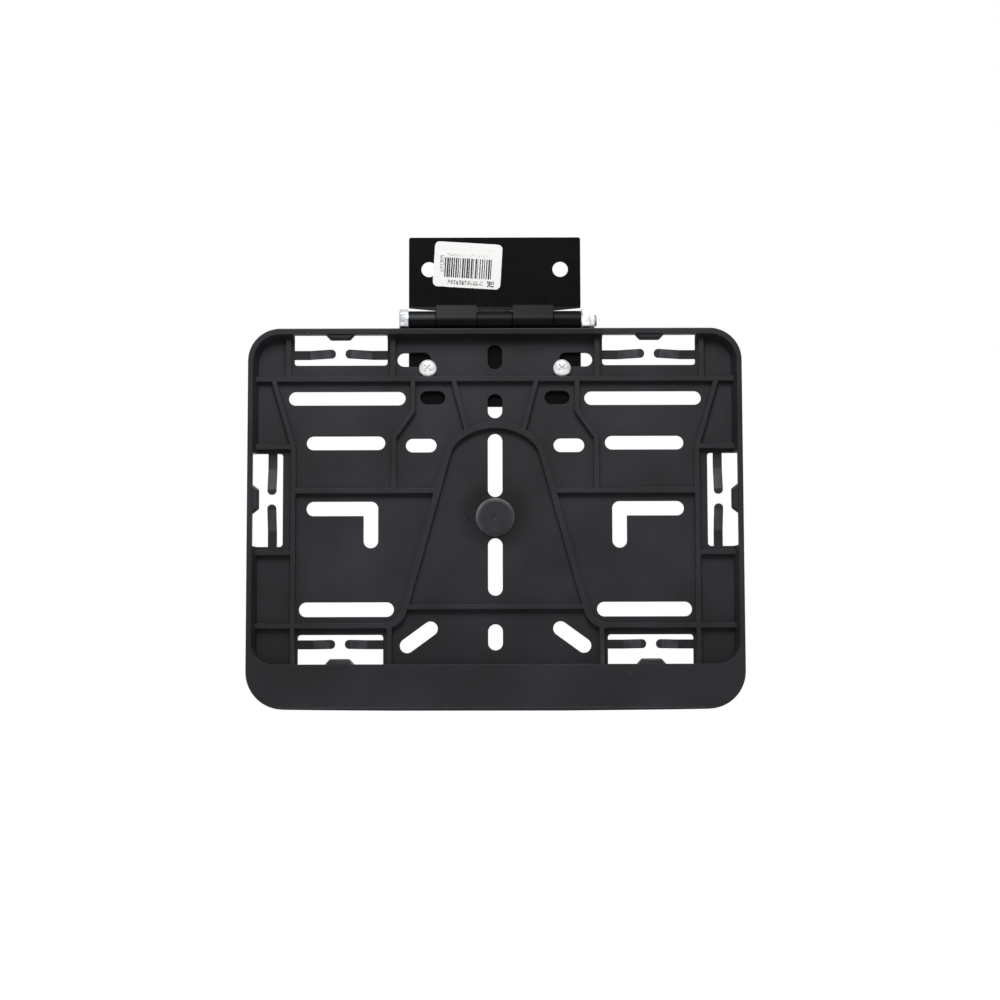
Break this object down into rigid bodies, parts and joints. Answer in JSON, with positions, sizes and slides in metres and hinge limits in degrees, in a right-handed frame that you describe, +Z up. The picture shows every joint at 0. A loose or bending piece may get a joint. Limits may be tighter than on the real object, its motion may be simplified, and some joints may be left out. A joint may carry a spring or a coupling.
{
  "type": "number plate holder",
  "caption": "Flat black plastic plate frame with ribs, slots, hooks and spring tongues, hung from a steel hinge bracket that bolts to a motorcycle.",
  "frame": {"origin": "midway between the two mounting holes, on the back face of the upper hinge leaf", "axes": "+X to the right seen from the plate side, +Y out of the mounting face towards the vehicle, +Z up; the plate side faces -Y"},
  "size_m": [0.2198, 0.014, 0.213],
  "materials": {
    "frame_plastic": "satin moulded polypropylene",
    "leaf_steel": "satin black powder coat",
    "zinc_fastener": "bright zinc plating",
    "nylon_ring": "natural nylon"
  },
  "bodies": {
    "bracket": {"upper_leaf": "leaf_steel"},
    "holder": {"holder_frame": "frame_plastic", "lower_leaf": "leaf_steel", "hinge_bolt": "zinc_fastener", "hinge_nut": "zinc_fastener", "hinge_nut_insert": "nylon_ring", "frame_screw_left": "zinc_fastener", "frame_screw_right": "zinc_fastener", "frame_nut_left": "zinc_fastener", "frame_nut_right": "zinc_fastener"}
  },
  "joints": [
    {"name": "plate_swing", "type": "hinge", "parent": "bracket", "child": "holder", "pos_m": [0, -0.0045, -0.0243], "axis": [-1, 0, 0], "range_deg": [-95, 105]}
  ]
}
